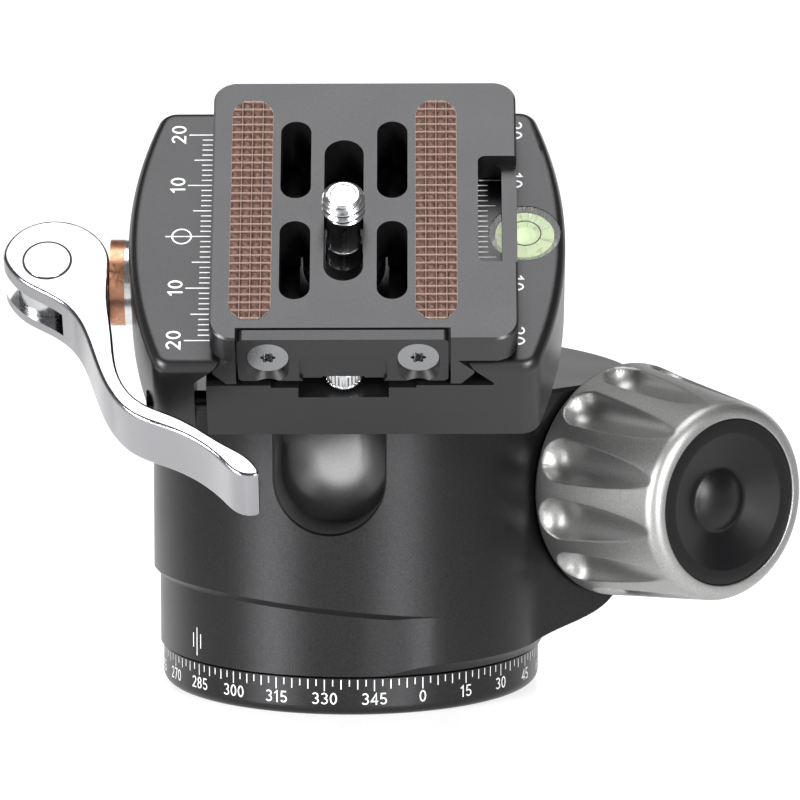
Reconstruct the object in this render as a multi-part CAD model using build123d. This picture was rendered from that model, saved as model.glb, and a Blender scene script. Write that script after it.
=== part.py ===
from build123d import *
import os
from math import cos, degrees, hypot, radians, sin, sqrt

# Tripod ball head with a lever-release dovetail clamp and a quick-release plate.
# Millimetres, +Z up. The origin is the centre of the panning base's underside, on the pan axis.
# The head is held with its clamp leaning over, and the lever closed.

# ---- panning base ----
base_radius = 28.7
base_height = 5.75
base_edge_round = 1.5
seam_gap = 0.4
thread_bore_radius = 4.0
thread_length = 9.0
insert_radius = 6.0
insert_flange_radius = 7.4
insert_flange_height = 1.5
spindle_hub_radius = 12.0
spindle_flange_radius = 19.0
spindle_flange_height = 3.0
spindle_screw_circle = 9.6
spindle_screw_radius = 1.25
spindle_screw_head_radius = 2.4
spindle_screw_count = 3

# ---- housing ----
skirt_radius = 29.15
body_radius = 30.1
body_top = 46.2
step_height = 13.6
step_slope = 0.118
step_heading = 30
fade_headings = (-82, -62)
top_edge_round = 0.5
floor_thickness = 3.4
floor_bore_clearance = 0.08
lower_bore_radius = 22.8
thrust_plate_height = 1.6
cavity_radius = 21.3
mouth_radius = 18.2
lip_height = 1.0
notch_half_width = 8.25
notch_heading = -96.3
notch_centre_height = 36.25
notch_edge_chamfer = 0.3
washer_height = 0.4
fit_gap = 0.1

# ---- ball and its lock ----
ball_radius = 20.0
ball_height = 36.8
ball_seat_gap = 0.1
neck_radius = 5.6
neck_flare_height = 0.3
flange_radius = 6.0
flange_height = 1.2
cam_ring_height = 2.8
cam_ring_bore = 12.0
cam_ball_radius = 1.2
cam_ball_circle = 16.5
cam_gap = 1.0
lift_ring_height = 2.3
lift_ring_bore = 14.0
lift_travel = 0.35
cup_height = 6.5
seat_bottom_above_centre = 2.8

# ---- main knob, on a shaft beside the ball ----
knob_heading = -52
knob_offset = 32.0
knob_axis_height = 31.0
lobe_face = 26.3
knob_start = 27.0
knob_length = 24.3
knob_wide_radius = 17.95
knob_rim_radius = 14.95
knob_flutes = 12
flute_radius = 3.4
flute_circle = 18.05
flute_start = 6.0
flute_first = 12
knob_rim_round = 1.1
cap_radius = 12.67
cap_depth = 6.0
cap_dish_radius = 10.4
cap_dimple_radius = 4.9
shaft_radius = 4.0
shaft_pitch = 1.25
shaft_tip = -8.0
nut_radius = 6.8
nut_length = 12.0
nut_pin_radius = 2.0
nut_bore_radius = 7.0
bush_length = 8.1
lobe_radius = 50.0
lobe_front_round = 9.0
lobe_back = 13.0

# ---- pan lock, at the back ----
pan_heading = 105
pan_screw_radius = 2.5
pan_knob_radius = 8.0
pan_knob_gap = 0.5
pan_knob_length = 11.0
pan_shoe_length = 2.4
pan_travel = 0.4

# ---- clamp: across u, along the dovetail v, and n up from the jaw tops ----
lean = 40.45
lean_heading = -0.88
clamp_twist = 0.3
clamp_top = 47.55
clamp_thickness = 16.0
clamp_offset = -0.45
outline_offset = 0.4
clamp_length = 50.0
clamp_half_width = 32.2
side_arc_radius = 70.0
clamp_corner = 3.0
clamp_edge_round = 1.5
channel_depth = 4.3
dovetail_line = 18.05
channel_half_width = 21.8
base_left_face = -20.0
groove_half_width = 6.6
groove_depth = 2.7
shelf_half_width = 10.6
shelf_depth = 0.5
jaw_travel = 1.5
washer_recess = 0.5
guide_pin_radius = 1.5
guide_pin_level = -12.4
spring_spread = 11.0
spring_radius = 1.9
spring_wire = 0.3
spring_turns = 4

# ---- lever and its rod ----
rod_level = -10.4
rod_radius = 2.4
rod_end = -10.5
barrel_nut_place = -14.5
barrel_nut_radius = 3.5
lever_pivot = -44.0
lever_level = -10.1
lever_half_height = 4.8
lever_round = 0.5
lever_slot_end = -8.3
ear_gap = 4.8
lever_pin_radius = 3.5
eye_radius = 4.6
lever_swing = 100
cam_washer_thickness = 2.2
backing_washer_thickness = 1.2
cam_washer_radius = 6.4
cam_clearance = 0.1

# ---- level ----
level_place = (26.6, 0.55)
level_radius = 5.25
level_height = 4.0
level_wall = 0.9
bubble_radius = 1.6

# ---- quick-release plate ----
plate_top = 6.16
plate_bottom = 1.26
plate_left = -19.4
plate_right = 25.4
plate_length = 50.0
plate_corner = 3.5
dovetail_half_width = 19.0
dovetail_bottom = -3.9
centre_slot = (-13.9, 13.4)
centre_slot_half_width = 2.9
side_slot_place = 7.1
side_slot_half_width = 2.25
side_slots = ((2.05, 17.1), (-17.4, -2.4))
window_left = 19.7
window_right = 23.2
window_reach = 10.25
window_step = 2.0
window_corner = 1.1
grip_place = 13.55
grip_half_width = 3.05
grip_half_length = 21.3
grip_depth = 0.9
grip_proud = 0.25
bar_half_width = 15.25
bar_thickness = 1.85
bar_gap = 0.35
bar_top = 6.05
bar_bottom = -3.2
bar_recess_width = 12.8
bar_travel = 2.5
bar_screw_place = 10.9
bar_screw_level = 2.0
bar_screw_head_radius = 3.0
bar_screw_radius = 1.5
bar_socket_radius = 1.15
stop_screw_inset = 3.5
stop_head_radius = 2.8
stop_head_top = -3.1
stop_head_bottom = -6.3
stop_arch_half_width = 3.1
stop_arch_top = -2.9
camera_thread_radius = 3.175
camera_thread_length = 3.7
camera_screw_top = 12.0
camera_screw_place = -2.3
camera_neck_radius = 2.45
camera_collar_radius = 2.7
camera_head_radius = 6.1
camera_head_height = 2.2
camera_washer_height = 0.5

# ---- places worked out from the sizes above ----
from_low_face = (Align.CENTER, Align.CENTER, Align.MIN)
housing_bottom = base_height + seam_gap
floor_top = housing_bottom + floor_thickness
spindle_flange_low = floor_top + washer_height
spindle_flange_top = spindle_flange_low + spindle_flange_height
thrust_plate_low = spindle_flange_top + seam_gap
cam_ring_low = thrust_plate_low + thrust_plate_height + fit_gap
cam_ring_top = cam_ring_low + cam_ring_height
lift_ring_low = cam_ring_top + cam_gap
lift_ring_top = lift_ring_low + lift_ring_height
ring_radius = cavity_radius - 0.5
seat_radius = ball_radius + ball_seat_gap
pan_axis_height = spindle_flange_low + spindle_flange_height / 2
pan_knob_start = body_radius + pan_knob_gap
plate_half_length = plate_length / 2
stop_screw_place = -plate_half_length + stop_screw_inset
clamp_half_length = clamp_length / 2
guide_pin_spread = 0.84 * clamp_half_length
clamp_bottom = -clamp_thickness
channel_floor = -channel_depth
groove_floor = channel_floor - groove_depth
side_arc_drop = side_arc_radius - sqrt(side_arc_radius**2 - clamp_half_length**2)
washer_seat = clamp_half_width - outline_offset - washer_recess
washers_thickness = backing_washer_thickness + cam_washer_thickness
cam_high_radius = -lever_pivot - washer_seat - washers_thickness - cam_clearance
head_under_clamp = clamp_top - clamp_thickness

knob_frame = Location(
    Plane(
        origin=(
            knob_offset * -sin(radians(knob_heading)),
            knob_offset * cos(radians(knob_heading)),
            knob_axis_height,
        ),
        x_dir=(-sin(radians(knob_heading)), cos(radians(knob_heading)), 0),
        z_dir=(cos(radians(knob_heading)), sin(radians(knob_heading)), 0),
    )
)
pan_frame = Location(
    Plane(
        origin=(0, 0, pan_axis_height),
        x_dir=(-sin(radians(pan_heading)), cos(radians(pan_heading)), 0),
        z_dir=(cos(radians(pan_heading)), sin(radians(pan_heading)), 0),
    )
)
# local x runs across the lobe, away from the pan axis, and local -y faces the main knob
lobe_frame = Rot(0, 0, knob_heading + 90)
stem_frame = Pos(0, 0, ball_height) * Rot(0, 0, lean_heading) * Rot(lean, 0, 0) * Rot(0, 0, clamp_twist)
clamp_frame = stem_frame * Pos(clamp_offset, 0, clamp_top)
# in the frames below, local z runs along the clamp's u, and along its v
along_u = Rot(0, 90, 0)
along_v = Rot(-90, 0, 0)


def disc(radius, low, high):
    return Pos(0, 0, low) * Cylinder(radius, high - low, align=from_low_face)


def tube(outer, inner, low, high):
    return disc(outer, low, high) - disc(inner, low - 1, high + 1)


def turned(*profile):
    return revolve(Plane.XZ * make_face(Polyline(*profile, close=True)), Axis.Z)


def block(x_range, y_range, z_range):
    spans = (x_range, y_range, z_range)
    size = [high - low for low, high in spans]
    middle = [(high + low) / 2 for low, high in spans]
    return Pos(*middle) * Box(*size)


def slot_prism(half_width, low_end, high_end, bottom, top):
    """A stadium along y, standing between two heights."""
    outline = Rot(0, 0, 90) * SlotOverall(high_end - low_end, 2 * half_width)
    return Pos(0, (low_end + high_end) / 2, bottom) * extrude(outline, top - bottom)


def around(count, shape, first=0):
    return [Rot(0, 0, first + 360 * i / count) * shape for i in range(count)]


# ---- panning base ----
def panning_base():
    body = disc(base_radius, 0, base_height)
    body = fillet(body.edges().group_by(Axis.Z)[0], base_edge_round)
    body -= disc(insert_radius, -1, base_height + 1)
    body -= disc(insert_flange_radius, base_height - insert_flange_height, base_height + 1)
    body -= tube(24.5, 22.0, -1, 0.8)
    for screw in spindle_screw_bodies(fit_gap / 2):
        body -= screw
    return body


def tripod_thread_insert():
    neck = insert_radius - 0.4
    flange_low = base_height - insert_flange_height
    body = disc(insert_radius, 0, base_height)
    body += disc(insert_flange_radius, flange_low, base_height)
    body += disc(neck, 0, thread_length)
    return body - disc(thread_bore_radius, -1, thread_length + 1)


def spindle_screw_bodies(extra=0):
    """Countersunk screws from below; extra opens them out for their holes."""
    head_low = 0.3 if extra == 0 else -1
    head_top = 0.3 + spindle_screw_head_radius - spindle_screw_radius
    tip = spindle_flange_low + 1.5
    screw = disc(spindle_screw_radius, head_low, tip)
    cone = Cone(spindle_screw_head_radius, spindle_screw_radius, head_top - 0.3, align=from_low_face)
    screw += Pos(0, 0, 0.3) * cone
    if extra:
        screw += disc(spindle_screw_head_radius, head_low, 0.3)
    else:
        screw -= Pos(0, 0, 0.3) * extrude(RegularPolygon(0.8, 6), 0.7)
    return around(spindle_screw_count, Pos(spindle_screw_circle, 0, 0) * screw, 30)


def spindle_plate():
    body = disc(spindle_hub_radius, base_height, spindle_flange_low)
    body += disc(spindle_flange_radius, spindle_flange_low, spindle_flange_top)
    body -= disc(insert_radius - 0.4, base_height - 1, thread_length + 0.2)
    for screw in spindle_screw_bodies():
        body -= screw
    return body


def pan_washer():
    return tube(spindle_flange_radius - 0.3, spindle_hub_radius + 0.3, floor_top, spindle_flange_low)


# ---- housing ----
def pan_bore():
    return pan_frame * disc(pan_screw_radius + 0.05, spindle_flange_radius, body_radius + 5)


def bottom_ring():
    body = disc(lower_bore_radius, housing_bottom, thrust_plate_low)
    body -= disc(spindle_hub_radius + floor_bore_clearance, housing_bottom - 1, floor_top + 1)
    body -= disc(spindle_flange_radius + 0.6, floor_top, thrust_plate_low + 1)
    return body - pan_bore()


def thrust_plate():
    body = tube(lower_bore_radius, 4.0, thrust_plate_low, thrust_plate_low + thrust_plate_height)
    return body - pan_bore()


def lobe_sector(front, near_back, far_back):
    """A region right of the pan axis, past the lobe's reach, in the lobe's frame."""
    near, far = 6, lobe_radius + 12
    return make_face(Polyline((near, front), (far, front), (far, far_back), (near, near_back), close=True))


def lobe_plan():
    """Plan of the body with its lobe, in the lobe's frame."""
    sector = lobe_sector(-lobe_face, lobe_back, lobe_back)
    plan = Circle(body_radius) + (Circle(lobe_radius) & sector)
    crease = sqrt(body_radius**2 - lobe_face**2)
    front = plan.vertices().sort_by_distance((crease, -lobe_face))[0]
    plan = fillet(front, lobe_front_round)
    corner = sqrt(lobe_radius**2 - lobe_face**2)
    plan = fillet(plan.vertices().sort_by_distance((corner, -lobe_face))[0], 2.5)
    corner = sqrt(lobe_radius**2 - lobe_back**2)
    plan = fillet(plan.vertices().sort_by_distance((corner, lobe_back))[0], 8)
    crease = sqrt(body_radius**2 - lobe_back**2)
    return fillet(plan.vertices().sort_by_distance((crease, lobe_back))[0], 6)


def step_fade():
    """Where the step under the body fades out, along a curve tangent to both its rounds."""
    first, last = (heading - knob_heading - 90 for heading in fade_headings)
    start = Vector(skirt_radius, 0).rotate(Axis.Z, first)
    end = Vector(body_radius, 0).rotate(Axis.Z, last)
    blend = Spline(start, end, tangents=[Vector(0, 1).rotate(Axis.Z, angle) for angle in (first, last)])
    rim = CenterArc((0, 0), body_radius, last, 25)
    return make_face(Line((0, 0), start) + blend + rim + Line(rim @ 1, (0, 0)))


def lobe():
    """The shaft's lobe: a flared profile turned about the pan axis, within the lobe's plan."""
    flare_low = housing_bottom
    knee = (lobe_radius - 10, flare_low + 6.65)
    top = (lobe_radius - 5.4, body_top)
    start = (skirt_radius, flare_low)
    underside = Spline(start, (skirt_radius + 5.5, flare_low + 3.6), knee, tangents=((0.4, 1), (0.8, 1)))
    side = ThreePointArc(knee, (lobe_radius - 0.6, 29.0), top)
    rest = Polyline(top, (0, body_top), (0, flare_low), (skirt_radius, flare_low))
    flared = revolve(Plane.XZ * make_face(underside + side + rest), Axis.Z)
    plan = (lobe_plan() & lobe_sector(-lobe_radius, 2, 20)) + step_fade()
    return lobe_frame * extrude(plan, body_top) & flared


def lobe_hollows():
    """The shaft's bore, and the way down from it for the drive nut's pin and the cam ring's arm."""
    bore = knob_frame * disc(nut_bore_radius, -8.5, knob_start + 1)
    bore += knob_frame * disc(shaft_radius + 0.5, shaft_tip - 1.5, 0)
    arm_low = cam_ring_low - fit_gap
    across = (cavity_radius - 4, knob_offset + 4.6)
    arm_way = block(across, (-5.6, 7.0), (arm_low, cam_ring_top + 0.5))
    pin_way = block((knob_offset - 2.9, knob_offset + 2.9), (-3.0, 4.6), (arm_low, knob_axis_height))
    return bore + lobe_frame * (arm_way + pin_way)


def drop_notch(radial_start):
    """A slot with a round bottom, cut outwards from the ball's cavity."""
    side = Rot(0, 0, notch_heading + 90)
    outline = Circle(notch_half_width) + Pos(0, 10) * Rectangle(2 * notch_half_width, 20)
    wall = Pos(0, -radial_start, notch_centre_height) * Rot(90, 0, 0) * extrude(outline, 40)
    return side * wall


def on_notch_rim(edge):
    """Whether an edge lies round the notch on the outside of the body."""
    outwards = Vector(1, 0).rotate(Axis.Z, notch_heading)
    across = Vector(1, 0).rotate(Axis.Z, notch_heading + 90)
    middle = edge @ 0.5
    outside = hypot(middle.X, middle.Y) > body_radius - 1 and middle.dot(outwards) > 0
    return outside and all(abs((edge @ t).dot(across)) < notch_half_width + 0.1 for t in (0, 0.5, 1))


def housing():
    upper = disc(body_radius, 0, body_top)
    heading = radians(step_heading)
    step = Plane(
        origin=(0, 0, step_height),
        z_dir=(step_slope * cos(heading), step_slope * sin(heading), 1),
    )
    upper = split(upper, step, keep=Keep.TOP)
    upper = chamfer(upper.edges().sort_by(Axis.Z)[0], 0.9)
    body = upper + disc(skirt_radius, housing_bottom, body_top - 10) + lobe()
    top_edges = body.faces().sort_by(Axis.Z)[-1].edges()
    body = chamfer(top_edges, top_edge_round)
    body -= disc(lower_bore_radius, housing_bottom - 1, thrust_plate_low + thrust_plate_height)
    body -= disc(cavity_radius, housing_bottom - 1, ball_height)
    hollow = Pos(0, 0, ball_height) * Sphere(cavity_radius)
    body -= hollow & disc(cavity_radius + 1, 0, body_top - lip_height)
    body -= disc(mouth_radius, ball_height, body_top + 1)
    body -= drop_notch(cavity_radius - 6)
    body = chamfer(body.edges().filter_by(on_notch_rim), notch_edge_chamfer)
    for heading in lift_lug_headings:
        across = (cavity_radius - 3, cavity_radius + 1.3)
        body -= Rot(0, 0, heading) * block(across, (-2.1, 2.1), (cam_ring_low - 0.1, lift_ring_top + 0.6))
    body -= lobe_hollows()
    return body - pan_bore()


lift_lug_headings = (150, 265)


def seat_ring():
    low = ball_height + seat_bottom_above_centre
    body = Pos(0, 0, ball_height) * (Sphere(cavity_radius) - Sphere(seat_radius))
    body &= disc(cavity_radius + 1, low, body_top - lip_height)
    return body - drop_notch(cavity_radius - 6)


def shaft_bush():
    return knob_frame * tube(nut_bore_radius, shaft_radius + 0.05, lobe_face - bush_length, lobe_face)


def thrust_washer():
    return knob_frame * tube(9.0, shaft_radius + 0.2, lobe_face, knob_start - 0.1)


# ---- pan lock ----
def pan_knob():
    start, end = pan_knob_start, pan_knob_start + pan_knob_length
    body = disc(pan_knob_radius, start, end)
    body = fillet(body.edges().group_by(Axis.Z)[-1], 1.0)
    flute = disc(1.6, start + 2.6, end + 1) + Pos(0, 0, start + 2.6) * Sphere(1.6)
    for cut in around(10, Pos(pan_knob_radius + 0.7, 0, 0) * flute):
        body -= cut
    return pan_frame * (body - disc(pan_screw_radius, start - 1, end - 3))


def pan_screw():
    start = spindle_flange_radius + pan_shoe_length + 0.6
    body = disc(pan_screw_radius, start, pan_knob_start + pan_knob_length - 3)
    return pan_frame * body


def pan_shoe():
    start = spindle_flange_radius + 0.03
    return pan_frame * disc(pan_screw_radius - 0.05, start, start + pan_shoe_length)


# ---- main knob ----
def main_knob():
    end = knob_start + knob_length
    body = turned((0, knob_start), (knob_wide_radius, knob_start), (knob_rim_radius, end), (0, end))
    near, *_, far = body.edges().filter_by(GeomType.CIRCLE).sort_by(Axis.Z)
    body = chamfer(near, 0.3)
    far = body.edges().filter_by(GeomType.CIRCLE).sort_by(Axis.Z)[-1]
    body = fillet(far, knob_rim_round)
    flute = disc(flute_radius, knob_start + flute_start, end + 2)
    flute += Pos(0, 0, knob_start + flute_start) * Sphere(flute_radius)
    for cut in around(knob_flutes, Pos(flute_circle, 0, 0) * flute, flute_first):
        body -= cut
    body -= disc(cap_radius, end - cap_depth, end + 1)
    return knob_frame * (body - disc(shaft_radius, knob_start - 1, end - cap_depth))


def knob_cap():
    end = knob_start + knob_length
    face = end - 0.25
    body = disc(cap_radius, end - cap_depth, face)
    dish = Pos(0, 0, face - 2.3) * Cone(cap_dimple_radius, cap_dish_radius, 2.3, align=from_low_face)
    dimple = Pos(0, 0, face - 2.3 + 6.6) * Sphere(8.2)
    return knob_frame * (body - dish - dimple)


def knob_shaft():
    collar_end = lobe_face - bush_length - 0.1
    body = disc(shaft_radius, shaft_tip, knob_start + knob_length - cap_depth)
    return knob_frame * (body + disc(nut_bore_radius - 0.5, collar_end - 1.8, collar_end))


def drive_nut():
    body = knob_frame * disc(nut_radius, -nut_length / 2, nut_length / 2)
    pin = lobe_frame * Pos(knob_offset, 0, 0) * disc(nut_pin_radius, cam_ring_low + 0.3, knob_axis_height)
    return body + pin - knob_frame * disc(shaft_radius + fit_gap, -nut_length, nut_length)


# ---- ring stack under the ball ----
def ball_pocket(from_height, to_height):
    """The path of one cam ball along its ramp, a capsule along the ball circle."""
    turn = degrees(shaft_pitch / knob_offset)
    path = [(0, from_height), (turn, to_height)]
    ends = [Vector(cam_ball_circle, 0, height).rotate(Axis.Z, angle) for angle, height in path]
    radius = cam_ball_radius + 0.05
    run = ends[1] - ends[0]
    rod = Location(Plane(origin=ends[0], z_dir=run)) * Cylinder(radius, run.length, align=from_low_face)
    return rod + Pos(*ends[0]) * Sphere(radius) + Pos(*ends[1]) * Sphere(radius)


cam_ball_centre = cam_ring_top + cam_gap / 2
cam_ball_first = 75


def cam_ring():
    body = tube(ring_radius, cam_ring_bore, cam_ring_low, cam_ring_top)
    arm = block((ring_radius - 2, knob_offset + 3.6), (-4, 4), (cam_ring_low, cam_ring_top))
    across = (knob_offset - nut_pin_radius - 0.8, knob_offset + 5)
    fork = block(across, (-nut_pin_radius - 0.05, nut_pin_radius + 0.05), (0, 30))
    body += lobe_frame * (arm - fork)
    ball_seat = Pos(cam_ball_circle, 0, cam_ball_centre) * Sphere(cam_ball_radius + 0.02)
    for pocket in around(3, ball_seat, cam_ball_first):
        body -= pocket
    return body


def cam_balls():
    ball = Pos(cam_ball_circle, 0, cam_ball_centre) * Sphere(cam_ball_radius)
    return Compound(around(3, ball, cam_ball_first))


def lift_ring():
    body = tube(ring_radius, lift_ring_bore, lift_ring_low, lift_ring_top)
    lug = block((ring_radius - 1, cavity_radius + 0.9), (-1.9, 1.9), (lift_ring_low, lift_ring_top))
    for heading in lift_lug_headings:
        body += Rot(0, 0, heading) * lug
    for pocket in around(3, ball_pocket(cam_ball_centre, cam_ball_centre + lift_travel), cam_ball_first):
        body -= pocket
    return body


def ball_cup():
    low = lift_ring_top + 0.05
    body = tube(cavity_radius - 0.35, lift_ring_bore + 0.6, low, low + cup_height)
    return body - Pos(0, 0, ball_height) * Sphere(seat_radius)


# ---- ball, neck and clamp ----
def ball():
    top = head_under_clamp
    body = Sphere(ball_radius) + disc(neck_radius, 0, top)
    body += disc(flange_radius, top - flange_height, top)
    flare = Cone(neck_radius, neck_radius + neck_flare_height, neck_flare_height, align=from_low_face)
    body += Pos(0, 0, top - flange_height - neck_flare_height) * flare
    body -= disc(stem_bolt_radius + 0.05, stem_bolt_tip - 2, top + 1)
    for pin in locating_pin_bodies():
        body -= pin
    return stem_frame * body


stem_bolt_radius = 3.0
stem_bolt_head_radius = 5.5
stem_bolt_tip = 20.0
locating_pin_radius = 0.8
locating_pin_place = 4.55


def stem_bolt_body(extra=0):
    """Countersunk bolt down the neck; extra opens it out for its hole in the clamp."""
    head_top = clamp_top + groove_floor - 0.2
    cone_height = stem_bolt_head_radius - stem_bolt_radius
    body = disc(stem_bolt_radius + extra, stem_bolt_tip, head_top)
    cone = Cone(
        stem_bolt_radius + extra, stem_bolt_head_radius + extra, cone_height, align=from_low_face
    )
    return body + Pos(0, 0, head_top - cone_height) * cone


def stem_bolt():
    hexagon = RegularPolygon(2.0, 6)
    head_top = clamp_top + groove_floor - 0.2
    socket = Pos(0, 0, head_top - 2.2) * extrude(hexagon, 3)
    return stem_frame * (stem_bolt_body() - socket)


def locating_pin_bodies():
    pin = disc(locating_pin_radius, head_under_clamp - flange_height, head_under_clamp + 3)
    return [Pos(0, side * locating_pin_place, 0) * pin for side in (-1, 1)]


def locating_pins():
    return stem_frame * Compound(locating_pin_bodies())


def clamp_outline():
    """Plan of the clamp: straight ends, bowed sides, round corners."""
    end_half_width = clamp_half_width - side_arc_drop
    right = ThreePointArc(
        (end_half_width, -clamp_half_length), (clamp_half_width, 0), (end_half_width, clamp_half_length)
    )
    left = ThreePointArc(
        (-end_half_width, clamp_half_length), (-clamp_half_width, 0), (-end_half_width, -clamp_half_length)
    )
    back = Line((end_half_width, clamp_half_length), (-end_half_width, clamp_half_length))
    front = Line((-end_half_width, -clamp_half_length), (end_half_width, -clamp_half_length))
    plan = make_face(right + back + left + front)
    return fillet(plan.vertices(), clamp_corner)


def clamp_block():
    """Both jaws in one block; the outline stands a little to the right of the dovetail's middle."""
    body = Pos(outline_offset, 0, clamp_bottom) * extrude(clamp_outline(), clamp_thickness)
    body = fillet(body.edges().group_by(Axis.Z)[-1], clamp_edge_round)
    return chamfer(body.edges().group_by(Axis.Z)[0], 0.5)


def channel():
    """The dovetail channel between the jaws, open at both ends."""
    half_floor = dovetail_line + channel_depth - 0.5
    profile = make_face(
        Polyline(
            (-dovetail_line, 0),
            (-dovetail_line, 3),
            (dovetail_line, 3),
            (dovetail_line, 0),
            (half_floor, -channel_depth + 0.5),
            (half_floor, -channel_depth),
            (-half_floor, -channel_depth),
            (-half_floor, -channel_depth + 0.5),
            close=True,
        )
    )
    return Pos(0, clamp_half_length + 1, 0) * Rot(90, 0, 0) * extrude(profile, clamp_length + 2)


def rod_line(radius, start, end):
    return Pos(0, 0, rod_level) * along_u * disc(radius, start, end)


def guide_pin_bodies(extra=0):
    pin = along_u * disc(guide_pin_radius + extra, base_left_face - 9, base_left_face + 10)
    return [Pos(0, side * guide_pin_spread, guide_pin_level) * pin for side in (-1, 1)]


def spring_pockets(side_of_gap):
    """Blind holes for the springs, 4 deep into the clamp base or 3 deep into the jaw."""
    inner_face = -channel_half_width
    spans = {"base": (base_left_face - 1, base_left_face + 4), "jaw": (inner_face - 3, inner_face + 1)}
    low, high = spans[side_of_gap]
    hole = along_u * disc(spring_radius + spring_wire + 0.3, low, high)
    return [Pos(0, side * spring_spread, rod_level) * hole for side in (-1, 1)]


def level_bore():
    return Pos(*level_place, 0) * disc(level_radius, -level_height - 0.1, 2)


def clamp_base():
    body = clamp_block() - channel()
    body -= block((-60, base_left_face), (-40, 40), (clamp_bottom - 1, 1))
    body -= block((-60, 0), (-40, 40), (channel_floor, 1))
    groove = block((-groove_half_width, groove_half_width), (-40, 40), (groove_floor, 0))
    shelf = block((-shelf_half_width, shelf_half_width), (-40, 40), (channel_floor - shelf_depth, 0))
    body -= groove + shelf
    body -= rod_line(rod_radius, base_left_face - 1, rod_end)
    body -= Pos(barrel_nut_place, 0, 0) * disc(barrel_nut_radius, clamp_bottom - 1, rod_level + 4)
    for cut in guide_pin_bodies() + spring_pockets("base"):
        body -= cut
    body -= level_bore()
    over_stem = Pos(-clamp_offset, 0, -clamp_top)
    body -= over_stem * stem_bolt_body(0.05)
    body -= Pos(-clamp_offset, 0, 0) * block((-5, 5), (-5, 5), (groove_floor - 0.2, groove_floor))
    for pin in locating_pin_bodies():
        body -= over_stem * pin
    return clamp_frame * body


def moving_jaw():
    body = clamp_block() - channel()
    body -= block((-dovetail_line, 60), (-40, 40), (clamp_bottom - 1, 1))
    body -= block((-channel_half_width, 0), (-40, 40), (clamp_bottom - 1, channel_floor + 0.01))
    body -= rod_line(cam_washer_radius + 0.4, -60, -washer_seat)
    body -= rod_line(rod_radius + 0.2, -60, 0)
    for cut in guide_pin_bodies(0.05) + spring_pockets("jaw"):
        body -= cut
    return clamp_frame * body


def guide_pins():
    return clamp_frame * Compound(guide_pin_bodies())


def jaw_springs():
    """Coils bent from short straight lengths of a six-sided wire."""
    start, end = -channel_half_width - 2.9, base_left_face + 3.9
    length = end - start - 2 * spring_wire
    steps = 10 * spring_turns
    bends = [Vector(spring_radius, 0, length * i / steps).rotate(Axis.Z, 36 * i) for i in range(steps + 1)]
    wire = Plane(origin=bends[0], z_dir=bends[1] - bends[0]) * RegularPolygon(spring_wire, 6)
    coil = sweep(wire, path=Polyline(*bends), transition=Transition.RIGHT)
    coil = along_u * Pos(0, 0, start + spring_wire) * coil
    return clamp_frame * Compound([Pos(0, side * spring_spread, rod_level) * coil for side in (-1, 1)])


def clamp_rod():
    body = rod_line(rod_radius, lever_pivot, rod_end)
    eye_half = ear_gap / 2 - 0.05
    body += Pos(lever_pivot, 0, rod_level) * disc(eye_radius, -eye_half, eye_half)
    body -= Pos(lever_pivot, 0, rod_level) * disc(lever_pin_radius + 0.05, -9, 9)
    return clamp_frame * body


def barrel_nut():
    body = Pos(barrel_nut_place, 0, 0) * disc(barrel_nut_radius, clamp_bottom + 0.3, rod_level + 4)
    body -= rod_line(rod_radius, -30, 0)
    across = (barrel_nut_place - 5, barrel_nut_place + 5)
    slot = block(across, (-0.5, 0.5), (clamp_bottom, clamp_bottom + 1.3))
    return clamp_frame * (body - slot)


def cam_washer():
    high = -washer_seat - backing_washer_thickness
    low = high - cam_washer_thickness
    return clamp_frame * (rod_line(cam_washer_radius, low, high) - rod_line(rod_radius + 0.2, -60, 0))


def backing_washer():
    body = rod_line(cam_washer_radius, -washer_seat - backing_washer_thickness, -washer_seat)
    return clamp_frame * (body - rod_line(rod_radius + 0.2, -60, 0))


# ---- lever ----
def cam_point(angle):
    """The cam's radius falls evenly with the angle, by the jaw's travel over the lever's swing."""
    radius = cam_high_radius - jaw_travel * angle / lever_swing
    return (lever_pivot + radius * cos(radians(angle)), radius * sin(radians(angle)))


lever_outer_edge = (
    (-50.1, -0.6),
    (-47.3, -4.3),
    (-43.4, -6.9),
    (-40.6, -9.4),
    (-37.3, -16.5),
    (-33.5, -26.3),
    (-31.0, -29.2),
    (-25.2, -32.2),
    (-17.7, -38.0),
)
lever_tip = ((-13.7, -41.0), (-12.2, -40.6), (-12.6, -38.9))
lever_inner_edge = (
    (-16.7, -35.2),
    (-24.4, -29.7),
    (-29.9, -26.6),
    (-32.5, -22.8),
    (-34.0, -14.3),
    (-34.85, -5.5),
)


def lever_plan():
    """Round the cam, then out along the arm and back, in one smooth curve."""
    cam = [cam_point(angle) for angle in (0, 25, 50, 75, 100, 125, 150, 171)]
    return make_face(Spline(*cam, *lever_outer_edge, *lever_tip, *lever_inner_edge, periodic=True))


def lever():
    body = Pos(0, 0, lever_level - lever_half_height) * extrude(lever_plan(), 2 * lever_half_height)
    rims = body.edges().group_by(Axis.Z)
    body = fillet(rims[0] + rims[-1], lever_round)
    across = (lever_pivot - 16, lever_pivot + 14)
    fork = block(across, (lever_slot_end, 20), (rod_level - ear_gap / 2, rod_level + ear_gap / 2))
    body -= fork
    body -= Pos(lever_pivot, 0, rod_level) * disc(lever_pin_radius, -20, 20)
    return clamp_frame * body


def lever_pin():
    reach = lever_half_height + 0.1
    body = Pos(lever_pivot, 0, lever_level) * disc(lever_pin_radius, -reach, reach)
    rims = body.edges().group_by(Axis.Z)
    return clamp_frame * chamfer(rims[0] + rims[-1], 0.15)


# ---- level ----
def bubble_vial():
    cavity = disc(level_radius - level_wall, -level_height + 0.8, -0.9)
    body = disc(level_radius, -level_height, -0.1) - cavity
    return clamp_frame * Pos(*level_place, 0) * body


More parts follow.
